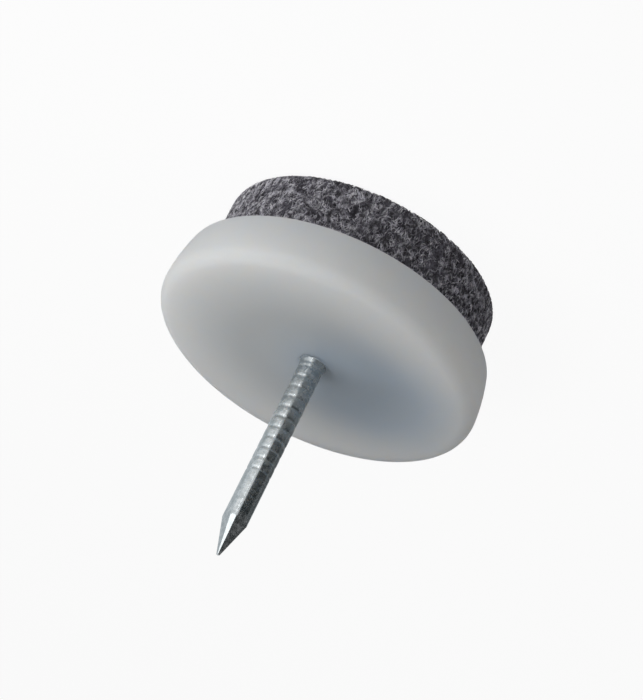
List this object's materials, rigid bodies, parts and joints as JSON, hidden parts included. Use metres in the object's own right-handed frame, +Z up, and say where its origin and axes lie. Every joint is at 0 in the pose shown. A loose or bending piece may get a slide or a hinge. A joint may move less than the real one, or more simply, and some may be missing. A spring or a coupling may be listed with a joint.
{
  "type": "nail-on furniture glide",
  "caption": "Round milky plastic glide with a thick grey felt sole and a ringed steel nail moulded into its top, hammered into the end of a furniture leg so that it slides without scratching.",
  "frame": {"origin": "centre of the felt's sole, which stands on the floor", "axes": "+Z up along the nail, from the sole to the point; X and Y are free, because the glide is round"},
  "size_m": [0.025, 0.025, 0.0264],
  "materials": {
    "milky_plastic": "satin, as moulded, slightly translucent",
    "zinc_plated_steel": "bright zinc plate",
    "grey_felt": "mottled dark grey felt"
  },
  "bodies": {
    "root": {"plastic_base": "milky_plastic", "nail": "zinc_plated_steel", "felt_pad": "grey_felt"}
  },
  "joints": []
}
